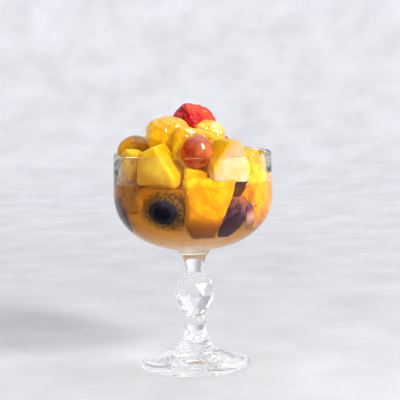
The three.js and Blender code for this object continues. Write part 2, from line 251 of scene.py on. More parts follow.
# %% Stack rings into a faceted solid
def stack_rings(name, sides, rings, edge):
    """rings are (height, radius, turn in half sides), from the bottom up."""
    half_side = math.pi / sides
    height, radius, turn = rings[0]
    deselect_everything()
    bpy.ops.mesh.primitive_circle_add(vertices=sides, radius=radius * MM, fill_type="NGON",
                                      location=(0, 0, height * MM),
                                      rotation=(0, 0, turn * half_side - math.pi / 2))
    piece = settle(name_it(name))
    start_editing(piece)
    for next_height, next_radius, next_turn in rings[1:]:
        rise = (0, 0, (next_height - height) * MM)
        bpy.ops.mesh.extrude_region_move(TRANSFORM_OT_translate={"value": rise})
        share = next_radius / radius
        centre = (0, 0, next_height * MM)
        bpy.ops.transform.resize(value=(share, share, 1), center_override=centre)
        twist = (turn - next_turn) * half_side
        bpy.ops.transform.rotate(value=twist, orient_axis="Z", center_override=centre)
        height, radius, turn = next_height, next_radius, next_turn
    bpy.ops.mesh.select_all(action="SELECT")
    bpy.ops.mesh.normals_make_consistent(inside=False)
    bpy.ops.mesh.quads_convert_to_tris(quad_method="SHORTEST_DIAGONAL", ngon_method="BEAUTY")
    bpy.ops.mesh.tris_convert_to_quads(face_threshold=0.01, shape_threshold=math.pi)
    bpy.ops.mesh.bevel(offset=edge * MM, segments=2, affect="EDGES", clamp_overlap=True)
    return finish_editing()


KNOB_RADIUS = 12.8
KNOB_BOTTOM = 30.5
KNOB_HEIGHT = 26.5
knob_rings = [
    (KNOB_BOTTOM, 5.6, 1),
    (KNOB_BOTTOM + 0.17 * KNOB_HEIGHT, 0.78 * KNOB_RADIUS, 0),
    (KNOB_BOTTOM + 0.50 * KNOB_HEIGHT, KNOB_RADIUS, 1),
    (KNOB_BOTTOM + 0.80 * KNOB_HEIGHT, 0.80 * KNOB_RADIUS, 0),
    (56.3, 5.8, 1),
    (57.6, 5.2, 1),
]
flare_rings = [(8.4, 13.2, 0), (11.2, 12, 0), (12, 10.2, 0), (15.6, 8.1, 0), (22.4, 6, 0)]
knob = stack_rings("knob", 8, knob_rings, 0.14)
flare = stack_rings("flare", 6, flare_rings, 0.3)
report(knob)
report(flare)

# %% [markdown]
# ## The ring and the fluted foot
# Between knob and flare sits a plain round ring. The foot is a shallow hollow dome standing on a
# flat rim, and short half-round flutes are pressed into its underside round the middle. They show
# through the glass as a bright star. Each flute is one tapered cutter, copied round the axis.

# %% Spin the ring and the foot, and press the flutes
FOOT_RADIUS = 33.1
FOOT_TOP = 10.4
FOOT_HOLLOW = 1.6
FLUTES = 16
FLUTE_INNER = 3.5
FLUTE_OUTER = 12.5
FLUTE_RADIUS = 0.9

ring = spin_profile("ring", [(0, 21.6), (5.8, 21.6), (6.6, 23.4), (6.8, 24.7), (6.8, 26), (6.6, 27.4),
                             (6.3, 28.4), (5.8, 29.2), (5.3, 29.6), (5.3, 31.4), (0, 31.4)], SPIN_STEPS)
foot_edge = [(31.4, 0), (32.2, 0.2), (32.8, 0.7), (FOOT_RADIUS, 1.5)]
foot_top = bezier((32.5, 2.3), (25, 5.2), (17, 5.4), (11.5, FOOT_TOP), 24)
hollow = [(0, FOOT_HOLLOW), (7, 1.58), (11, 1.5), (14.5, 1.32), (17.5, 1.03), (20.5, 0.62), (23, 0.24),
          (25, 0)]
foot = spin_profile("foot", [*hollow, *foot_edge, (FOOT_RADIUS - 0.1, 1.9), *foot_top, (0, FOOT_TOP)],
                    SPIN_STEPS)
for flute in range(FLUTES):
    angle = 2 * math.pi * (flute + 0.5) / FLUTES
    middle = (FLUTE_INNER + FLUTE_OUTER) / 2
    deselect_everything()
    place = (middle * math.cos(angle) * MM, middle * math.sin(angle) * MM, FOOT_HOLLOW * MM)
    bpy.ops.mesh.primitive_cone_add(vertices=20, radius1=0.6 * FLUTE_RADIUS * MM, radius2=FLUTE_RADIUS * MM,
                                    depth=(FLUTE_OUTER - FLUTE_INNER) * MM, location=place,
                                    rotation=(0, math.pi / 2, angle))
    combine(foot, settle(name_it("flute_cutter")), "DIFFERENCE")
report(foot)

# %% [markdown]
# ## One body of glass
# If the bowl, knob, ring, flare and foot stayed apart, each would show an inner skin where they
# meet. Real glass is one body, so they are joined by a union. Faces that meet at a small angle are
# shaded smooth. The knob's facets meet at small angles too, so its faces are made flat by height.

# %% Join the glass
for part in (knob, ring, flare, foot):
    combine(glass, part, "UNION")
pick(glass)
bpy.ops.object.shade_smooth_by_angle(angle=math.radians(22))
KNOB_EDGE = 0.5
for face in glass.data.polygons:
    if KNOB_BOTTOM + KNOB_EDGE < face.center.z / MM < KNOB_BOTTOM + KNOB_HEIGHT - KNOB_EDGE:
        face.use_smooth = False
name_it("coupe_glass")
report(glass)

# %% [markdown]
# ## The juice
# The juice fills the bowl to its level and wets the wall, where it creeps up a little. Its mesh
# reaches a quarter of a millimetre into the glass: if it only touched, a film of air would show and
# the juice would look like a separate bead. Where it is deep it is cloudy with pulp, so a softer
# body of cloud sits a few millimetres inside it, and the fruit stands out from that.

# %% Spin the juice and its cloudy heart
INTO_WALL = 0.25
MENISCUS = 0.5
MENISCUS_LIP = 0.45
MENISCUS_WIDTH = 2.6
CLOUD_DEPTH = 6
CLOUD_TOP = 112.0

wet_wall = cavity_curve(-INTO_WALL, JUICE_LEVEL + MENISCUS)
wall_radius = wet_wall[-1][0]
surface = [(wall_radius - MENISCUS_LIP - MENISCUS_WIDTH * t, JUICE_LEVEL + MENISCUS * (1 - t) ** 3)
           for t in (0, 0.15, 0.3, 0.5, 0.75, 1)]
juice = spin_profile("amber_juice", [*wet_wall, *surface, (0, JUICE_LEVEL)], SPIN_STEPS)
cloud = spin_profile("juice_cloud", [*cavity_curve(CLOUD_DEPTH, CLOUD_TOP), (0, CLOUD_TOP)], 96)
modify(cloud, "REMESH", mode="VOXEL", voxel_size=1.1 * MM)
roughen(cloud, 9, 1.6)
modify(cloud, "SMOOTH", factor=0.5, iterations=3)
for piece in (juice, cloud):
    pick(piece)
    bpy.ops.object.shade_smooth_by_angle(angle=math.radians(50))
    report(piece)

# %% [markdown]
# ## The room inside the glass
# Fruit that is spooned into a glass is pressed against its wall and can't go through it. So one
# helper holds the room that the glass leaves, a little smaller than the cavity, and each chunk is
# intersected with it. Where a chunk leans on the wall it gets the wall's own curve.

# %% The room
ROOM_GAP = 0.75
HEAP_TOP = 171

heap_edge = (RIM_RADIUS - RIM_WALL - ROOM_GAP, HEAP_TOP)
room = spin_profile("room", [*cavity_curve(ROOM_GAP, RIM_HEIGHT), heap_edge, (0, HEAP_TOP)], 96)
report(room)

# %% [markdown]
# ## Cutting a chunk
# Soft fruit is cut by hand, so a chunk is a block whose corners are a little off, with slightly
# rounded edges and one or two slanting knife cuts. It starts as a cube at its size, place and turn.
# Its corners are moved at random from a fixed seed, its edges are bevelled, and each knife cut is a
# bisect. An even remesh then lets the flesh be roughened, first in broad lumps and then finely.

# %% Helpers that cut fruit
def turned_by(turn):
    return Euler([math.radians(angle) for angle in turn], "XYZ")


def slice_off(at, turn, cuts):
    """Cuts away what lies beyond each plane, given in the piece's own frame. Runs in edit mode."""
    rotation = turned_by(turn).to_matrix()
    for normal, distance in cuts:
        outward = rotation @ Vector(normal).normalized()
        bpy.ops.mesh.select_all(action="SELECT")
        bpy.ops.mesh.bisect(plane_co=mm(at) + outward * distance * MM, plane_no=outward,
                            use_fill=True, clear_outer=True)


def soften(piece, cell, lumps, grain, smooth):
    modify(piece, "REMESH", mode="VOXEL", voxel_size=cell * MM)
    modify(piece, "SMOOTH", factor=0.5, iterations=smooth)
    for scale, strength in (lumps, grain):
        roughen(piece, scale, strength)
    combine(piece, room, "INTERSECT", keep=True)
    pick(piece)
    bpy.ops.object.shade_smooth()
    report(piece)
    return piece


def chunk(node, at, turn, size, cuts=(), edge=3, cell=0.5, lumps=(8, 2.0), grain=(2.4, 0.45), seed=1,
          smooth=8):
    deselect_everything()
    bpy.ops.mesh.primitive_cube_add(size=MM, location=mm(at), rotation=turned_by(turn), scale=size)
    piece = name_it("fruit_" + node)
    bpy.ops.object.transform_apply(location=False, rotation=False, scale=True)
    start_editing(piece)
    bpy.ops.transform.vertex_random(offset=0.05 * min(size) * MM, seed=seed)
    bpy.ops.mesh.bevel(offset=edge * MM, segments=3, affect="EDGES", clamp_overlap=True)
    slice_off(at, turn, cuts)
    finish_editing()
    combine(settle(piece), room, "INTERSECT", keep=True)
    return soften(piece, cell, lumps, grain, smooth)


print("a chunk is a block, bevelled, sliced, trimmed to the glass and roughened")

# %% [markdown]
# ## Finishes start with a few short helpers
# A material is a small tree of nodes. By hand one opens it in the Shader Editor, and new nodes go
# into the tree that is open, so these helpers keep an open tree too. `put` adds a node, sets its plain
# values and links what comes from other nodes, so that each finish further down reads like its list
# of steps. A colour of three numbers is typed as the usual red, green and blue of a screen, and is
# turned into linear light where it is used.

# %% Node helpers
def linear(red, green, blue):
    def one(value):
        value /= 255
        return value / 12.92 if value <= 0.04045 else ((value + 0.055) / 1.055) ** 2.4
    return (one(red), one(green), one(blue), 1)


def paint(colour):
    """Turns a typed screen colour into linear light. A link or a colour of four numbers stays."""
    return linear(*colour) if isinstance(colour, tuple) and len(colour) == 3 else colour


def open_tree(tree):
    """New nodes go into this tree from now on."""
    global opened
    opened = tree
    return tree


def plug(node, inputs):
    """Links what comes from another node and types in what is a plain value."""
    for name, value in inputs.items():
        if isinstance(value, bpy.types.NodeSocket):
            opened.links.new(value, node.inputs[name])
        else:
            node.inputs[name].default_value = value


def put(kind, inputs=None, **settings):
    node = opened.nodes.new("ShaderNode" + kind)
    for name, value in settings.items():
        setattr(node, name, value)
    plug(node, inputs or {})
    return node


def maths(operation, first, second=0.0, clamp=False):
    return put("Math", {0: first, 1: second}, operation=operation, use_clamp=clamp).outputs[0]


plus, minus, times, over, power = (partial(maths, operation) for operation in
                                   ("ADD", "SUBTRACT", "MULTIPLY", "DIVIDE", "POWER"))


def blend_colours(share, first, second):
    node = put("Mix", {0: share, 6: paint(first), 7: paint(second)}, data_type="RGBA", clamp_factor=True)
    return node.outputs[2]


def ramp(value, stops):
    """stops are (place, colour), from 0 to 1."""
    stops = [(place, paint(colour)) for place, colour in stops]
    node = put("ValToRGB", {"Fac": value})
    elements = node.color_ramp.elements
    elements[0].position, elements[0].color = stops[0]
    elements[1].position, elements[1].color = stops[-1]
    for place, colour in stops[1:-1]:
        elements.new(place).color = colour
    return node.outputs["Color"]


print("mango yellow in linear light:", [round(c, 3) for c in linear(250, 170, 5)])

# %% Helpers for patterns
def fade(value, low, high):
    """0 where the value is at low and 1 where it is at high, with soft ends."""
    return put("MapRange", {"Value": value, "From Min": low, "From Max": high},
               interpolation_type="SMOOTHSTEP").outputs["Result"]


def noise(place, scale, detail=2, roughness=0.5, distortion=0):
    node = put("TexNoise", {"Vector": place, "Scale": scale, "Detail": detail, "Roughness": roughness,
                            "Distortion": distortion})
    return node.outputs["Fac"]


def in_millimetres():
    place = put("TexCoord").outputs["Object"]
    return put("VectorMath", {0: place, "Scale": 1 / MM}, operation="SCALE").outputs[0]


def axes_of(vector):
    return put("SeparateXYZ", {0: vector}).outputs


def length_of(vector):
    return put("VectorMath", {0: vector}, operation="LENGTH").outputs["Value"]


def raised(height, strength, distance):
    """Shading as if the face rose by a height. The distance is in millimetres."""
    return put("Bump", {"Height": height, "Strength": strength, "Distance": distance * MM}).outputs[0]


def new_group(name, inputs, outputs):
    """inputs are (name, kind, plain value) and outputs are (name, kind)."""
    group = open_tree(bpy.data.node_groups.new(name, "ShaderNodeTree"))
    for label, kind, value in inputs:
        socket = group.interface.new_socket(label, in_out="INPUT", socket_type="NodeSocket" + kind)
        socket.default_value = value
    for label, kind in outputs:
        group.interface.new_socket(label, in_out="OUTPUT", socket_type="NodeSocket" + kind)
    return group, group.nodes.new("NodeGroupInput"), group.nodes.new("NodeGroupOutput")


print("patterns are fades and noises over millimetres")

# %% [markdown]
# ## The juice veil
# Fruit that leans on the glass shows its own colour, and the further it lies behind the wall, the
# more the cloudy juice veils it. This is one effect that every sunk piece shares, so it is a node
# group. It measures how deep a point lies behind the bowl's wall and turns that into a veil from 0
# to 1. It also says whether the point is sunk at all, what colour the juice has there, and a painted
# glow, which stands in for the light that the juice scatters: brown amber under the surface, with
# darker swirls of pulp, a darker left edge that is painted shade, and paler towards the bottom, which
# is painted light where light comes in from below.

# %% The veil in numbers
DEPTH_SCALE = 40
CLEAR_FILM = 1.2
LEVEL_FADE = (JUICE_LEVEL + 0.3, JUICE_LEVEL - 1.2)
SWIRL = 10
COLOUR_HEIGHTS = (78, 118)
GLOW_BOTTOM = 74
GLOW_SPAN = 38
PULP_HEIGHTS = (84, 94)
# The span in X over which the juice's left edge darkens: painted shade.
LEFT_SHADE = (-30, -43)
# Juice and glow colours from the bottom up. The pale bottom is painted light, where light comes in from
# below, and the glow is painted light that stands in for what the cloudy juice scatters.
juice_shades = [(0, (250, 246, 244)), (0.13, (246, 222, 190)), (0.23, (238, 184, 96)), (0.45, (218, 148, 4)),
                (1, (198, 124, 0))]
glow_shades = [(0, (232, 242, 255)), (0.13, (220, 208, 216)), (0.24, (172, 126, 84)), (0.42, (134, 90, 24)),
               (1, (160, 102, 0))]
print("the first", CLEAR_FILM, "mm behind the wall stay clear")

# %% Build the juice veil group
def depth_behind_wall(axes):
    """About how many millimetres a point lies behind the wall, from the bowl's own superellipse."""
    flat = put("CombineXYZ", {"X": axes["X"], "Y": axes["Y"]}).outputs[0]
    across = power(over(length_of(flat), BELLY_RADIUS - BELLY_WALL), BOWL_SQUARENESS)
    below = maths("MAXIMUM", minus(BELLY_HEIGHT, axes["Z"]), 0)
    down = power(over(below, BOWL_DEPTH - BASE_WALL), BOWL_SQUARENESS)
    share = power(plus(across, down), 1 / BOWL_SQUARENESS)
    return times(minus(1, share), DEPTH_SCALE)


def make_veil_group():
    outputs = [("Veil", "Float"), ("Sunk", "Float"), ("Juice", "Color"), ("Glow", "Color")]
    group, start, end = new_group("Juice veil", [("Reach", "Float", 2.5)], outputs)
    place = in_millimetres()
    axes = axes_of(place)
    behind = over(minus(CLEAR_FILM, depth_behind_wall(axes)), start.outputs["Reach"])
    veil = minus(1, maths("EXPONENT", maths("MINIMUM", behind, 0)), clamp=True)
    sunk = fade(axes["Z"], *LEVEL_FADE)
    swirl = noise(place, 0.07, detail=3, roughness=0.6)
    height = plus(axes["Z"], times(swirl, SWIRL))
    colour = ramp(fade(height, *COLOUR_HEIGHTS), juice_shades)
    glow = ramp(over(minus(axes["Z"], GLOW_BOTTOM), GLOW_SPAN), glow_shades)
    drawn = put("VectorMath", {0: place, 1: (1, 1, 0.45)}, operation="MULTIPLY").outputs[0]
    pulp = noise(drawn, 0.16, detail=4, roughness=0.6, distortion=0.8)
    murk = times(times(fade(pulp, 0.5, 0.66), fade(axes["Z"], *PULP_HEIGHTS)), 0.4)
    # The left edge is darker in colour and glow: painted shade on the side away from the key.
    edge = times(fade(axes["X"], *LEFT_SHADE), 0.6)
    for share, shade, glow_shade in ((murk, (150, 84, 0), (70, 36, 0)), (edge, (110, 60, 4), (60, 30, 0))):
        colour = blend_colours(share, colour, shade)
        glow = blend_colours(share, glow, glow_shade)
    pale = times(fade(pulp, 0.46, 0.34), 0.5)
    colour = blend_colours(pale, colour, (244, 176, 30))
    plug(end, {"Veil": times(veil, sunk), "Sunk": sunk, "Juice": colour, "Glow": glow})
    return group


veil_group = make_veil_group()
print("the veil group has", len(veil_group.nodes), "nodes")

# %% [markdown]
# ## Flesh grain
# Cut fruit is never one even colour: it is mottled over centimetres, fibrous over millimetres, and
# its wet face is finely pitted. This second group gives the first two patterns at sizes in
# millimetres, and a height for a Bump node. Fibres are a noise that is stretched along one way.

# %% Build the flesh grain group
def make_grain_group():
    sizes = [("Mottle size", "Float", 7.0), ("Fibre size", "Float", 1.1), ("Fibre stretch", "Float", 0.22)]
    group, start, end = new_group("Flesh grain", [*sizes, ("Turn", "Vector", (0, 0, 0))],
                                  [("Mottle", "Float"), ("Fibre", "Float"), ("Height", "Float")])
    place = in_millimetres()
    mottle = noise(place, over(1, start.outputs["Mottle size"]), detail=3)
    along = put("VectorRotate", {"Vector": place, "Rotation": start.outputs["Turn"]},
                rotation_type="EULER_XYZ").outputs[0]
    squeeze = put("CombineXYZ", {"X": 1, "Y": 1, "Z": start.outputs["Fibre stretch"]}).outputs[0]
    drawn = put("VectorMath", {0: along, 1: squeeze}, operation="MULTIPLY").outputs[0]
    fibre = noise(drawn, over(1, start.outputs["Fibre size"]), distortion=0.4)
    pits = put("TexVoronoi", {"Vector": place, "Scale": 1.3}, feature="SMOOTH_F1").outputs["Distance"]
    height = plus(times(fibre, 0.6), times(pits, 0.5))
    plug(end, {"Mottle": mottle, "Fibre": fibre, "Height": height})
    return group


grain_group = make_grain_group()
print("the grain group has", len(grain_group.nodes), "nodes")

# %% [markdown]
# ## A wet fruit finish
# All fruit here shares one build: light goes a few millimetres into the flesh, so it has subsurface
# scattering, and its face is wet, so it has a clear coat with ripples of its own, which the syrup
# makes and which aren't the flesh's. The function takes the colour pattern and lays the juice veil
# over it, and what is veiled wears the juice's painted glow, which stands in for light scattered in
# the cloudy juice. The coat goes where the piece is sunk, because a wet face only glints in air, and
# fades to a quarter behind the glass. What is the same all over the piece stays on the shader's own
# sockets.

# %% The shared wet shader
# Strength of the painted glow that stands in for light scattered in the cloudy juice.
JUICE_GLOW = 0.55
SUNK_ROUGHNESS = 0.65
COAT_BEHIND_GLASS = 0.25
OPEN_AIR = (RIM_HEIGHT - 5, RIM_HEIGHT + 3)
FILM_RISE = 0.55
BUMP_RISE = 0.5


def new_finish(name):
    material = bpy.data.materials.new(name)
    material.use_nodes = True
    open_tree(material.node_tree).nodes.clear()
    shader = put("BsdfPrincipled")
    output = put("OutputMaterial", {"Surface": shader.outputs["BSDF"]})
    return material, shader, output


def wet_fruit(shader, colour, height, reach=2.5, roughness=0.35, coat=0.45, glow=0.45, depth=3.0,
              bump=0.3, coat_roughness=0.06, film_size=2.6, film_strength=1.0, coat_ior=1.7,
              veil_colour=None):
    veil = put("Group", {"Reach": reach}, node_tree=veil_group).outputs
    place = in_millimetres()
    up = axes_of(place)["Z"]
    in_air = plus(times(fade(up, *OPEN_AIR), 1 - COAT_BEHIND_GLASS), COAT_BEHIND_GLASS)
    dry = times(minus(1, veil["Sunk"]), coat)
    film = noise(place, 1 / film_size, detail=1)
    plug(shader, {
        "Base Color": blend_colours(veil["Veil"], colour, veil_colour or veil["Juice"]),
        # Veiled parts glow in the juice's colour: a painted glow for light scattered in the cloudy juice.
        "Emission Color": blend_colours(veil["Veil"], (0, 0, 0), veil["Glow"]),
        "Emission Strength": JUICE_GLOW,
        "Roughness": maths("MAXIMUM", roughness, times(veil["Sunk"], SUNK_ROUGHNESS)),
        "Specular IOR Level": 0,
        "IOR": 1.4,
        "Coat Weight": times(dry, in_air),
        "Coat Roughness": coat_roughness,
        "Coat IOR": coat_ior,
        "Coat Normal": raised(film, film_strength, film_size * FILM_RISE),
        "Subsurface Weight": glow,
        "Subsurface Radius": (1.0, 0.55, 0.2),
        "Subsurface Scale": depth * MM,
        "Normal": raised(height, bump, BUMP_RISE),
    })


def wear(piece, material):
    """Gives a dressed piece its finish, hides the CAD part it stands for and attaches it to the root body."""
    piece.data.materials.clear()
    piece.data.materials.append(material)
    node = piece.name.removeprefix("fruit_")
    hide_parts(node)
    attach(piece, "root")


print("a wet finish is colour, veil, scattering, coat and bump")

# %% [markdown]
# ## Plain cut flesh
# Mango, peach, pear, apple and melon are cut flesh of one kind each. They differ in three colours,
# deep, middle and light, in how fibrous they are and in how far light goes in. A colour can also be
# laid over the part of a piece that lies in one direction. On the mango stick it is painted shade, on
# the apple's left face painted bounce light and shade, and on other pieces it only makes one side
# darker, lighter or yellower.

# %% Cut flesh
WANDER = 5


def tinted(colour, at, direction, start, end, tint_colour):
    """Tints what lies beyond start millimetres from a point in one direction, fully from end on. On the mango
    stick and the red grape this is painted shade, on the apple's left face painted bounce light and shade.
    """
    place = in_millimetres()
    step = put("VectorMath", {0: place, 1: at}, operation="SUBTRACT").outputs[0]
    along = put("VectorMath", {0: step, 1: Vector(direction).normalized()}, operation="DOT_PRODUCT")
    ragged = times(minus(noise(place, 0.35, detail=3), 0.5), WANDER)
    edge = plus(along.outputs["Value"], ragged)
    return blend_colours(fade(edge, start, end), colour, tint_colour)


def cut_flesh(name, deep, middle, light, mottle=7.0, fibre=1.1, stretch=0.22, turn=(0, 0, 0), side_tints=(),
              **wet):
    material, shader, _ = new_finish(name)
    grain = put("Group", {"Mottle size": mottle, "Fibre size": fibre, "Fibre stretch": stretch,
                          "Turn": turned_by(turn)}, node_tree=grain_group).outputs
    mixed = plus(times(grain["Mottle"], 0.65), times(grain["Fibre"], 0.35))
    colour = ramp(mixed, [(0.4, deep), (0.5, middle), (0.6, light)])
    for side_tint in side_tints:
        colour = tinted(colour, *side_tint)
    wet_fruit(shader, colour, grain["Height"], **wet)
    return material


print("cut flesh is a ramp of three colours, soaked from some sides")

# %% Kinds of mango flesh
mango_kinds = {
    "ripe": cut_flesh("ripe mango flesh", (238, 150, 0), (246, 176, 0), (248, 192, 0), reach=6),
    # The front wedge is tinted darker towards the bottom, with a dark band along its lowest edge, yellower
    # towards the upper left and deeper orange towards the right.
    "front": cut_flesh("front mango flesh", (238, 152, 0), (246, 172, 0), (248, 188, 0), bump=0.5,
                       side_tints=[((8, -40, 97), (-0.1, 0, -1), -4, 7, (180, 102, 8)),
                              ((4, -40, 112), (-0.8, 0, 0.6), 2, 8, (250, 204, 20)),
                              ((19, -38, 100), (1, 0, 0), -4, 4, (236, 144, 0)),
                              ((8, -40, 90), (-0.1, 0, -1), -1, 6, (164, 100, 20)),
                              ((8, -40, 84), (0.35, 0, -1), -0.4, 0.8, (140, 66, 20))]),
    # The right chunk turns yellower towards the top.
    "right": cut_flesh("right mango flesh", (232, 136, 0), (240, 152, 0), (244, 168, 0), reach=6,
                       side_tints=[((37, -22, 110), (-0.3, 0, 1), 0, 6, (248, 190, 10))]),
    "young": cut_flesh("young mango flesh", (228, 150, 0), (240, 182, 0), (246, 200, 26), mottle=6, coat=0.7),
    # The mango stick is darker towards the bottom: painted shade, as its top is lit and its lower part lies
    # in shadow.
    "stick": cut_flesh("mango stick flesh", (226, 150, 0), (240, 180, 0), (250, 206, 0), mottle=5, coat=0.6,
                       side_tints=[((-35, -20, 126), (0.1, 0, -1), 0, 9, (206, 134, 0))]),
    # The sunk kind is a darker copy of the mango flesh for mango_left, low at the left: painted shade.
    "sunk": cut_flesh("sunk mango flesh", (164, 92, 0), (184, 112, 0), (200, 128, 0), reach=1.6),
}
print("made", len(mango_kinds), "kinds of mango flesh")

# %% Mango pieces
mango_pieces = [
    ("front", chunk("mango_wedge_front", (9.8, -32, 101.5), (4, -2, 14), (31, 21, 34),
                    cuts=[((0.92, -0.1, -0.39), 7.8), ((-0.8, 0, -0.6), 18)], seed=9)),
    ("right", chunk("mango_chunk_right", (37, -17, 102.5), (10, 10, 56), (24, 16, 31),
                    cuts=[((-0.7, 0, 0.7), 12.5), ((-0.8, 0, -0.6), 11)], seed=10)),
    ("stick", chunk("mango_stick", (-35.2, -20.5, 123.4), (4, 6, -32), (13, 13, 21), edge=4.5, seed=8,
                    cuts=[((0.7, 0, 0.8), 9.6), ((-0.7, -0.3, -0.7), 9)], cell=0.45, smooth=12)),
    ("ripe", chunk("mango_slab", (1.6, -34, 119.6), (8, 14, 8), (13, 11, 6.5), edge=1.2, seed=12, cell=0.4,
                   lumps=(6, 0.5))),
    # mango_left wears the darker sunk flesh: painted shade.
    ("sunk", chunk("mango_left", (-33.5, -24, 107), (0, 8, -36), (17, 15, 18), edge=5.5, seed=16, smooth=16)),
    ("young", chunk("mango_sliver", (12.4, -24, 131.5), (0, 12, 10), (11, 12, 20), edge=2, seed=18,
                    cell=0.45)),
    ("young", chunk("mango_chip", (31.5, -14, 123), (8, -10, 40), (14, 12, 18), edge=2, seed=21, cell=0.45)),
    ("ripe", chunk("mango_back_left", (-25, 24, 126), (0, -8, 42), (25, 20, 25), seed=23,
                   cuts=[((0.6, 0, 0.8), 12.5)])),
    ("ripe", chunk("mango_low_back", (-20, 31, 101), (6, 0, -34), (28, 20, 25), seed=28)),
    ("ripe", chunk("mango_low_right", (38.5, 5, 104), (0, -8, 84), (20, 14, 18), seed=32, cell=0.7)),
    ("ripe", chunk("mango_under_right", (15, -6, 122.5), (0, -10, 24), (24, 21, 19), seed=33, cell=0.8)),
    ("ripe", chunk("mango_under_left", (-20, 0, 119), (0, -6, 30), (24, 22, 19), seed=35, cell=0.8)),
]
for kind, piece in mango_pieces:
    wear(piece, mango_kinds[kind])

# %% [markdown]
# ## Peach lumps
# The two lumps at the top and the peach behind them are ripe, torn flesh: rounder, with deep folds
# that hold white glints. They use the same steps with a wide bevel and strong roughening.

# %% Peach pieces
torn = {"bump": 0.8, "glow": 0.5, "coat": 1, "coat_ior": 1.9, "coat_roughness": 0.03, "film_size": 2.2}
peach_flesh = cut_flesh("peach flesh", (244, 162, 0), (248, 180, 0), (250, 196, 8), mottle=4, fibre=1.5,
                        **torn)
ragged = {"edge": 9, "cell": 0.4, "lumps": (11, 3), "grain": (3.4, 0.45), "smooth": 16}
peach_pieces = [
    chunk("mango_lump", (-13.8, -11, 139.4), (0, -12, 14), (25.5, 24, 26), seed=6, **ragged),
    chunk("peach_lump", (9.8, -6, 139.8), (0, 18, -8), (20.5, 20, 19.5), seed=7, **ragged),
    chunk("peach_back", (-6, 12, 134), (10, 6, 30), (27, 22, 26), seed=25, **ragged),
    chunk("mango_centre", (-3.8, -19, 128.6), (0, 16, 12), (22, 22, 35), seed=11, cell=0.4, lumps=(6, 2.2),
          grain=(2.2, 0.7)),
    chunk("peach_low_left", (-37.5, 12, 111), (0, 4, 72), (22, 15, 19), seed=31, cell=0.7),
    chunk("peach_under_back", (4, 11, 115), (4, 8, -10), (34, 22, 19), seed=34, cell=0.8),
]
pale_peach = cut_flesh("pale peach flesh", (244, 172, 0), (249, 200, 30), (253, 216, 90), mottle=6,
                       fibre=1.3, stretch=0.12, turn=(0, 60, 20), **torn)
for piece in peach_pieces:
    wear(piece, pale_peach if piece.name == "fruit_peach_lump" else peach_flesh)

# %% [markdown]
# ## Apple, pear and melon
# Apple is the palest and crispest, so its edges are the sharpest. Pear is yellow from the juice it
# has soaked up, and melon is greener. Their cut faces are fine-grained, with hardly any fibres.

# %% Apple, pear and melon flesh
# The apple's left face is tinted yellow: painted bounce light and shade from the yellow fruit beside it. It
# also turns yellower towards the right.
apple_flesh = cut_flesh("apple flesh", (216, 168, 98), (222, 180, 136), (226, 190, 148), mottle=9, fibre=0.7,
                        stretch=1, bump=0.2, depth=4, film_strength=0.4,
                        side_tints=[((20, -32, 128), (-0.76, -0.3, 0.58), 2, 8, (228, 168, 14)),
                               ((20, -32, 128), (1, 0, 0.2), 8, 12, (236, 190, 60))])
# The pear is tinted darker towards the bottom and deeper yellow towards the left.
pear_flesh = cut_flesh("pear flesh", (236, 164, 0), (243, 190, 8), (247, 206, 50), mottle=9, fibre=0.7,
                       stretch=1, bump=0.35, depth=5, coat=1, glow=0.7, film_strength=0.6,
                       side_tints=[((-18, -34, 121), (-0.35, 0, -1), -1, 8, (210, 132, 0)),
                              ((-18, -34, 125), (-1, 0, -0.2), 8, 14, (224, 158, 8))])
melon_flesh = cut_flesh("melon flesh", (168, 132, 20), (200, 166, 52), (220, 190, 96), mottle=6, fibre=0.9,
                        stretch=0.6, bump=0.15, depth=4)
print("apple, pear and melon flesh are mixed")

# %% Apple, pear and melon pieces
crisp = {"edge": 2.4, "cell": 0.4, "lumps": (9, 1.0), "grain": (2.5, 0.25)}
crisp_pieces = [
    ("apple", apple_flesh, chunk("apple_chunk", (20.2, -32.4, 127.8), (6, 2, 22), (24, 18, 23.5), seed=4,
                                 cuts=[((-0.85, -0.25, 0.62), 9.6), ((1, 0, 0.42), 10.2)], **crisp)),
    ("apple", apple_flesh, chunk("apple_back", (-1, 33, 125.5), (-6, 8, 4), (25, 17, 25), seed=24,
                                 cuts=[((0.8, 0, 0.62), 11)], **crisp)),
    ("pear", pear_flesh, chunk("pear_chunk", (-18.2, -33.6, 125.6), (6, 6, -22), (25, 15, 23.5), seed=5,
                               cuts=[((0.8, -0.1, 0.66), 6), ((-0.5, 0, 0.9), 11.2)], **crisp)),
    ("pear", pear_flesh, chunk("pear_low_back", (26, 25, 103), (0, 10, 38), (24, 18, 22), seed=30, **crisp)),
    ("melon", melon_flesh, chunk("melon_chunk", (37.4, -1, 121.4), (0, 6, 80), (18, 14, 18), edge=2.6,
                                 seed=22)),
]
for slot, flesh, piece in crisp_pieces:
    wear(piece, flesh)

# %% [markdown]
# ## Grapes
# A grape is a sphere drawn out a little along its own axis, with a small scar where the stalk was.
# The faces at the pole are pushed in, and their neighbours follow a little. Its finish needs the
# grape's own frame, so a Mapping node brings the pattern to the grape's middle, turned as the grape is
# turned. The dark grape is speckled: it shows through the juice in small patches.

# %% Model a grape
def ball(node, at, turn, size, segments, rings):
    deselect_everything()
    bpy.ops.mesh.primitive_uv_sphere_add(segments=segments, ring_count=rings, radius=0.5 * MM,
                                         location=mm(at), rotation=turned_by(turn), scale=size)
    piece = name_it("fruit_" + node)
    bpy.ops.object.transform_apply(location=False, rotation=False, scale=True)
    return piece


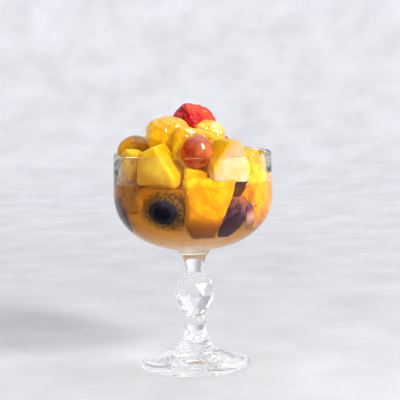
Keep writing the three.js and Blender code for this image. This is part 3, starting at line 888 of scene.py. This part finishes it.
def grape(node, at, turn, size):
    piece = ball(node, at, turn, size, 72, 48)
    top = max(v.co.z for v in piece.data.vertices)
    start_editing(piece, "DESELECT")
    bpy.ops.object.mode_set(mode="OBJECT")
    for face in piece.data.polygons:
        face.select = face.center.z > top - 0.1 * MM
    bpy.ops.object.mode_set(mode="EDIT")
    push = turned_by(turn).to_matrix() @ mm((0, 0, -0.5))
    bpy.ops.transform.translate(value=push, use_proportional_edit=True, proportional_size=1.6 * MM)
    finish_editing()
    settle(piece)
    roughen(piece, 12, 0.5)
    pick(piece)
    bpy.ops.object.shade_smooth()
    report(piece)
    return piece


def own_frame(at, turn, size):
    """Coordinates from -1 to 1 in the piece's own frame."""
    place = put("TexCoord").outputs["Object"]
    return put("Mapping", {"Vector": place, "Location": mm(at), "Rotation": turned_by(turn),
                           "Scale": mm(size) / 2}, vector_type="TEXTURE").outputs["Vector"]


print("a grape's own frame runs from -1 to 1")

# %% Grape skins
MURKY_REACH = 0.9
CLEAR_REACH = 14


def grape_skin(name, at, turn, size, deep, middle, light, bloom, bloom_share, painted_shade_side=None,
               speckled=False, **wet):
    material, shader, _ = new_finish(name)
    local = own_frame(at, turn, size)
    blotch = noise(local, 1.6, detail=4, roughness=0.55)
    colour = ramp(blotch, [(0.3, deep), (0.5, middle), (0.7, light)])
    specks = noise(local, 22)
    colour = blend_colours(times(fade(specks, 0.6, 0.72), 0.45), colour, deep)
    dust = noise(local, 2.4, detail=5, roughness=0.7)
    upper = fade(axes_of(local)["Z"], -0.2, 0.9)
    powder = times(fade(dust, 0.38, 0.62), bloom_share)
    colour = blend_colours(times(powder, upper), colour, bloom)
    # The side given here is darkened towards its colour: painted shade on the side away from the light.
    if painted_shade_side:
        colour = tinted(colour, at, *painted_shade_side)
    if speckled:
        fine = noise(local, 6, detail=5, roughness=0.75)
        wet["reach"] = plus(times(fade(fine, 0.47, 0.56), CLEAR_REACH), MURKY_REACH)
    wet_fruit(shader, colour, specks, film_strength=0.05, **wet)
    return material


skins = {
    # The red grape's left side, away from the key, is darker and redder: painted shade.
    "red_grape": dict(deep=(142, 42, 4), middle=(194, 86, 16), light=(228, 132, 44), bloom=(190, 108, 98),
                      bloom_share=0.7, roughness=0.22, glow=0.6, depth=5, bump=0.05, coat=1,
                      coat_roughness=0.14, painted_shade_side=((-0.9, -0.3, -0.1), 2, 8, (176, 40, 0))),
    "green_grape": dict(deep=(156, 94, 0), middle=(212, 144, 2), light=(234, 174, 22), bloom=(200, 160, 100),
                        bloom_share=0.5, roughness=0.2, glow=0.6, depth=5, bump=0.05, coat=1,
                        coat_roughness=0.1),
    "dark_grape": dict(deep=(14, 12, 22), middle=(24, 22, 38), light=(40, 38, 60), bloom=(52, 52, 74),
                       bloom_share=0.4, roughness=0.3, glow=0.1, depth=1, bump=0.05, coat=0.3,
                       speckled=True, veil_colour=(116, 80, 10)),
}
grapes = [
    ("red_grape", "red_grape", (3, -35, 132.8), (8, 12, 0), (19, 18.4, 20.4)),
    ("golden_grape", "green_grape", (-34.6, 1, 130.9), (0, 78, 12), (20, 20.4, 21.8)),
    ("dark_grape", "dark_grape", (-14.6, -34.4, 100.6), (0, 0, -24), (22, 18, 17)),
    ("red_grape_back", "red_grape", (15, 15, 131), (20, 60, 30), (18.6, 18, 20)),
    ("green_grape_back", "green_grape", (19, 31, 117), (80, 10, 30), (19, 19, 21)),
]
for node, slot, at, turn, size in grapes:
    skin = grape_skin(node + " skin", at, turn, size, **skins[slot])
    wear(grape(node, at, turn, size), skin)

# %% [markdown]
# ## Wedges of stone fruit
# The nectarine and the plums are cut from the stone outwards. A wedge starts as a whole fruit, an
# ellipsoid, and two bisects keep what lies between them. Where the stone was, a smaller ellipsoid
# is cut away. In the finish, the distance from the middle tells skin from flesh, and the distance
# from the stone tells where the flesh is stained red.

# %% Model a wedge
def wedge(node, at, turn, size, angle, cuts=(), stone=0, cell=0.5, lumps=(7, 0.7), grain=(1.8, 0.2),
          smooth=3):
    piece = ball(node, at, turn, size, 64, 40)
    half = math.radians(angle / 2)
    sides = [((side * math.cos(half), -math.sin(half), 0), 0) for side in (-1, 1)]
    start_editing(piece)
    slice_off(at, turn, sides + list(cuts))
    finish_editing()
    settle(piece)
    if stone:
        deselect_everything()
        bpy.ops.mesh.primitive_uv_sphere_add(segments=40, ring_count=24, radius=MM, location=mm(at),
                                             rotation=turned_by(turn), scale=(stone, stone, 1.35 * stone))
        combine(piece, settle(name_it("stone_cutter")), "DIFFERENCE")
    combine(piece, room, "INTERSECT", keep=True)
    return soften(piece, cell, lumps, grain, smooth)


print("a wedge is a whole fruit between two cuts")

# %% The nectarine
NECTARINE = {"at": (0.2, -8.2, 150.1), "turn": (-28, -19, 9), "size": (34, 31, 23.4)}
flesh_rings = [(0.36, (206, 4, 4)), (0.52, (220, 18, 10)), (0.68, (232, 60, 28)), (0.95, (236, 92, 48)),
               (1.08, (222, 60, 60))]
stained_rings = [(0.36, (216, 8, 8)), (0.6, (188, 28, 40)), (1, (208, 70, 86))]


def nectarine_finish():
    material, shader, _ = new_finish("nectarine flesh and skin")
    local = own_frame(**NECTARINE)
    radius = length_of(local)
    streaks = noise(local, 7, detail=5, roughness=0.65)
    ragged_radius = plus(radius, times(streaks, 0.22))
    outward = put("VectorMath", {0: local}, operation="NORMALIZE").outputs[0]
    rays = noise(outward, 7, detail=4)
    flesh = ramp(ragged_radius, flesh_rings)
    flesh = blend_colours(times(fade(rays, 0.5, 0.66), 0.5), flesh, (222, 40, 26))
    stained = ramp(ragged_radius, stained_rings)
    stained = blend_colours(times(fade(rays, 0.48, 0.58), 0.85), stained, (110, 8, 24))
    left = fade(plus(axes_of(local)["X"], times(streaks, 0.3)), 0.25, 0.02)
    colour = blend_colours(left, flesh, stained)
    pocks = noise(local, 11, detail=3, roughness=0.7)
    by_stone = times(fade(pocks, 0.53, 0.6), fade(radius, 0.66, 0.42))
    colour = blend_colours(times(by_stone, 0.85), colour, (96, 2, 8))
    blush = blend_colours(fade(pocks, 0.42, 0.62), (116, 26, 54), (178, 44, 46))
    colour = blend_colours(fade(radius, 0.94, 0.98), colour, blush)
    grain = noise(local, 14, detail=4)
    # Pale pink specks on the left face.
    pale_specks = times(fade(grain, 0.54, 0.7), times(left, 0.6))
    colour = blend_colours(pale_specks, colour, (240, 140, 150))
    wet_fruit(shader, colour, grain, roughness=0.4, coat=0.55, glow=0.35, bump=0.9, film_size=2)
    return material


wear(wedge("nectarine_wedge", **NECTARINE, angle=122, stone=4.5, cuts=[((0, 0, -1), 8), ((0, 1, 0), 13)],
           cell=0.36, lumps=(5, 1.0), grain=(1.6, 0.5)), nectarine_finish())

# %% The plums
def plum_finish(name, at, turn, size, flesh=((104, 30, 50), (84, 24, 46), (60, 14, 34)),
                skin=((44, 8, 20), (108, 68, 94)), reach=10):
    material, shader, _ = new_finish(name + " skin and flesh")
    local = own_frame(at, turn, size)
    radius = length_of(local)
    streaks = noise(local, 6, detail=4)
    inside = ramp(plus(radius, times(streaks, 0.2)), list(zip((0.3, 0.7, 1), flesh)))
    dust = noise(local, 3, detail=6, roughness=0.7)
    outside = blend_colours(fade(dust, 0.4, 0.65), *skin)
    colour = blend_colours(fade(radius, 0.88, 0.95), inside, outside)
    wet_fruit(shader, colour, streaks, roughness=0.3, coat=0.6, glow=0.2, depth=2, reach=reach)
    return material


plums = [
    ("plum_wedge", (14.2, -22.4, 97), (4, -12, 214), (36, 36, 34), 60, 6),
    ("plum_slice", (27.5, -22, 92.5), (6, 8, 222), (24, 28, 25), 50, 4),
    ("plum_crescent", (-27, -7, 94), (6, 8, 104), (34, 36, 30), 60, 7),
    ("plum_low_back", (4, 22, 96), (0, 24, 6), (34, 40, 34), 60, 6),
]
pale_plum = {"flesh": ((176, 100, 80), (214, 168, 150), (150, 60, 70))}
# plum_behind and plum_gap sit in dark gaps between the pieces: their dark brown flesh and skin are painted
# shade.
painted_shade_plum = {"flesh": ((56, 18, 0), (44, 10, 2), (34, 6, 4)), "skin": ((40, 5, 3), (86, 40, 0)), "reach": 30}
for node, at, turn, size, angle, inner in plums:
    piece = wedge(node, at, turn, size, angle, cuts=[((0, -1, 0), -inner)])
    wear(piece, plum_finish(node, at, turn, size, **(pale_plum if node == "plum_slice" else {})))
# These two dark pieces fill the gaps with painted shade.
for node, at, turn, size, seed, cuts in (
        ("plum_behind", (8, -24, 119), (0, 4, 0), (16, 14, 12), 19, []),
        ("plum_gap", (23.6, -25.5, 112.6), (0, -6, 24), (15, 16, 12), 20, [((0.7, 0, -0.7), 3.2)])):
    piece = chunk(node, at, turn, size, cuts, edge=2.4, seed=seed)
    wear(piece, plum_finish(node, at, turn, size, **painted_shade_plum))

# %% [markdown]
# ## Glass that lets light in
# Clear glass is a Principled shader with full transmission. On its own it would throw a black
# shadow on the fruit inside, because a lamp's light isn't followed through bent glass. So for the
# rays that look for a lamp, and for those only, it is swapped for a plain transparent surface. The
# cloud in the juice wears the juice's painted glow, and round the dark grape it wears a halo: an
# olive painted shadow in the juice, where the painted glow is darker too, broken by black specks, as
# if the grape's skin showed through in patches.

# %% Glass and juice finishes
GLASS_GLARE = (0.4, 0.4, 0.4, 1)
JUICE_GLARE = (0.1, 0.1, 0.1, 1)
JUICE_DENSITY = 40
CLOUD_SCATTER = 5
GRAPE_HALO = {"at": (-15.2, -38, 99.6), "turn": (0, 0, -24), "size": (22, 22, 14)}


def let_light_in(shader, output, tint):
    clear = put("BsdfTransparent", {"Color": tint})
    shadow = put("LightPath").outputs["Is Shadow Ray"]
    swap = put("MixShader", {0: shadow, 1: shader.outputs["BSDF"], 2: clear.outputs["BSDF"]})
    plug(output, {"Surface": swap.outputs[0]})


def clear_glass():
    material, shader, output = new_finish("clear glass")
    place = in_millimetres()
    smears = noise(place, 0.12, detail=4)
    waves = noise(place, 0.05, detail=1)
    plug(shader, {
        "Base Color": (0.985, 0.99, 0.99, 1),
        "Transmission Weight": 1,
        "IOR": 1.5,
        "Specular Tint": GLASS_GLARE,
        "Metallic": 0,
        "Roughness": times(fade(smears, 0.5, 0.75), 0.03),
        "Normal": raised(waves, 0.15, 1),
    })
    let_light_in(shader, output, (0.93, 0.94, 0.95, 1))
    return material


def juice_finish():
    material, shader, output = new_finish("amber juice")
    plug(shader, {"Base Color": (1, 0.97, 0.9, 1), "Transmission Weight": 1, "Roughness": 0, "IOR": 1.35,
                  "Specular Tint": JUICE_GLARE})
    let_light_in(shader, output, (1, 0.96, 0.86, 1))
    absorb = put("VolumeAbsorption", {"Color": (0.98, 0.72, 0.2, 1), "Density": JUICE_DENSITY})
    plug(output, {"Volume": absorb.outputs[0]})
    return material


def cloud_finish():
    material, shader, _ = new_finish("juice cloud")
    veil = put("Group", node_tree=veil_group).outputs
    grape_frame = own_frame(**GRAPE_HALO)
    off_grape = length_of(grape_frame)
    fine = noise(grape_frame, 7, detail=5, roughness=0.9)
    ragged_edge = plus(off_grape, times(fine, 2.6))
    # An olive halo round the dark grape: painted shadow in the juice.
    olive = blend_colours(fade(ragged_edge, 3.1, 2.6), veil["Juice"], (140, 94, 2))
    specks = noise(grape_frame, 6, detail=3, roughness=0.8)
    black = times(fade(specks, 0.53, 0.58), fade(off_grape, 1.9, 1.3))
    plug(shader, {
        "Base Color": blend_colours(black, olive, (34, 28, 14)),
        # The painted glow is darker in the halo too: painted shade.
        "Emission Color": blend_colours(fade(ragged_edge, 3.1, 2.5), veil["Glow"], (40, 26, 0)),
        "Emission Strength": JUICE_GLOW,
        "Roughness": 0.8,
        "Specular IOR Level": 0,
        "Subsurface Weight": 0.6,
        "Subsurface Radius": (1, 0.6, 0.3),
        "Subsurface Scale": CLOUD_SCATTER * MM,
    })
    return material


for piece, material in ((glass, clear_glass()), (juice, juice_finish()), (cloud, cloud_finish())):
    piece.data.materials.clear()
    piece.data.materials.append(material)
    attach(piece, "root")
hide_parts("glass")
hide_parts("juice")
print("glass, juice and cloud are finished")

# %% [markdown]
# ## The studio
# Glass shows what stands round it, so it is set on a pale floor that curves up into a pale wall all
# round, and the world lights it evenly with a cool white. A small strong key at the front right gives
# the glints and the shadow to the left. A broad fill at the front left softens them and is kept out
# of reflections, and a third light stands above. For reflections the world is darker at the front
# than at the back right. Rays that are bent by the glass see light and dark bands on paper and world:
# the cut facets each look another way, and without bands they would all look the same.

# %% Floor with a curved wall
FLOOR_GAP = 0.15
FLOOR_REACH = 950
WALL_BEND = 450
WALL_TOP = (1400, 1500)
WALL_GLOW = 0.25
BANDS = 4


def studio_floor():
    bend = [(FLOOR_REACH + WALL_BEND * math.sin(a), WALL_BEND * (1 - math.cos(a))) for a in
            [math.pi / 2 * step / 12 for step in range(13)]]
    deselect_everything()
    sweep = spin_profile("studio_floor", [(0, 0), *bend, WALL_TOP], 96)
    sweep.data.transform(Matrix.Translation((0, 0, -FLOOR_GAP * MM)))
    start_editing(sweep)
    bpy.ops.mesh.flip_normals()
    finish_editing()
    bpy.ops.object.shade_smooth()
    sweep.data.materials.append(paper_finish())
    sweep.visible_glossy = False


def paper_finish():
    material, shader, _ = new_finish("studio paper")
    place = in_millimetres()
    axes = axes_of(place)
    distance = length_of(place)
    colour = ramp(noise(place, 0.02, detail=6), [(0.3, (215, 216, 219)), (0.7, (230, 231, 234))])
    lit = blend_colours(fade(distance, 100, 900), (0, 0, 0), colour)
    wave = maths("SINE", times(maths("ARCTAN2", axes["Y"], axes["X"]), BANDS))
    bent = times(put("LightPath").outputs["Is Transmission Ray"], fade(distance, 120, 500))
    bright = times(bent, times(wave, -1), clamp=True)
    dark = times(bent, times(wave, 0.5), clamp=True)
    lit = blend_colours(dark, lit, (0, 0, 0))
    plug(shader, {
        "Base Color": blend_colours(dark, colour, (60, 62, 68)),
        "Emission Color": blend_colours(bright, lit, (1.6, 1.6, 1.6, 1)),
        "Emission Strength": WALL_GLOW,
        "Roughness": 0.7,
    })
    return material


studio_floor()
print("the floor bends up into a wall", FLOOR_REACH, "mm away")

# %% Lights
CUP_MIDDLE = (0, 0, 0.1)


def soft_light(name, place, aim, size, power, colour):
    deselect_everything()
    bpy.ops.object.light_add(type="AREA", location=place)
    lamp = bpy.context.object
    lamp.name = name
    lamp.data.shape = "RECTANGLE"
    lamp.data.size, lamp.data.size_y = size
    lamp.data.energy = power
    lamp.data.color = colour
    lamp.visible_camera = False
    lamp.rotation_euler = (Vector(aim) - Vector(place)).to_track_quat("-Z", "Y").to_euler()
    print(name, "light of", power, "W")
    return lamp


soft_light("key", (0.7, -0.64, 0.7), CUP_MIDDLE, (0.2, 0.45), 9.8, (1, 0.985, 0.96))
soft_light("fill", (-0.72, -0.8, 0.5), CUP_MIDDLE, (0.9, 0.9), 2.1, (1, 0.99, 0.97)).visible_glossy = False
soft_light("top", (0.1, 0.2, 1.2), CUP_MIDDLE, (0.8, 0.8), 1.4, (0.98, 0.985, 1))

# %% The air round the cup
EVEN_LIGHT = 0.41
FRONT_LIGHT = 0.1
BACK_LIGHT = 0.65
BAND_MIDDLE = 0.72
BAND_SWING = 0.26

world = bpy.data.worlds.new("studio air")
bpy.context.scene.world = world
world.use_nodes = True
air = open_tree(world.node_tree)
way = axes_of(put("TexCoord").outputs["Generated"])
ray = put("LightPath").outputs
right_back = plus(way["Y"], times(way["X"], 0.6))
behind_cup = times(fade(right_back, -0.3, 0.7), BACK_LIGHT)
wave = maths("SINE", times(maths("ARCTAN2", way["Y"], way["X"]), BANDS))
bands = minus(BAND_MIDDLE, times(wave, BAND_SWING))
glossy_part = times(ray["Is Glossy Ray"], minus(behind_cup, EVEN_LIGHT - FRONT_LIGHT))
bent_part = times(ray["Is Transmission Ray"], minus(bands, EVEN_LIGHT))
plug(air.nodes["Background"], {"Color": (0.9, 0.91, 0.96, 1),
                               "Strength": plus(EVEN_LIGHT, plus(glossy_part, bent_part))})
bpy.context.scene.view_settings.view_transform = "Standard"
print("the air lights the cup with", EVEN_LIGHT)

# %% Light paths and camera
# A thin wall of glass passes light along inside itself, so light needs many turns to get out of it.
LIGHT_TURNS = 40
cycles = bpy.context.scene.cycles
cycles.max_bounces = cycles.transmission_bounces = cycles.transparent_max_bounces = LIGHT_TURNS
cycles.glossy_bounces = LIGHT_TURNS

CAMERA_PLACE = (4.106, -718.84, 186.80)
CAMERA_TILT = 6.795
CAMERA_ROLL = -1.054
bpy.ops.object.camera_add(location=mm(CAMERA_PLACE))
camera = bpy.context.object
tilt = Matrix.Rotation(math.radians(90 - CAMERA_TILT), 3, "X")
camera.rotation_euler = (tilt @ Matrix.Rotation(math.radians(CAMERA_ROLL), 3, "Z")).to_euler()
camera.data.sensor_width = 36
camera.data.lens = 107.61
bpy.context.scene.camera = camera
print("the camera looks down by", CAMERA_TILT, "degrees")

# %% Remove the room
bpy.data.objects.remove(room)
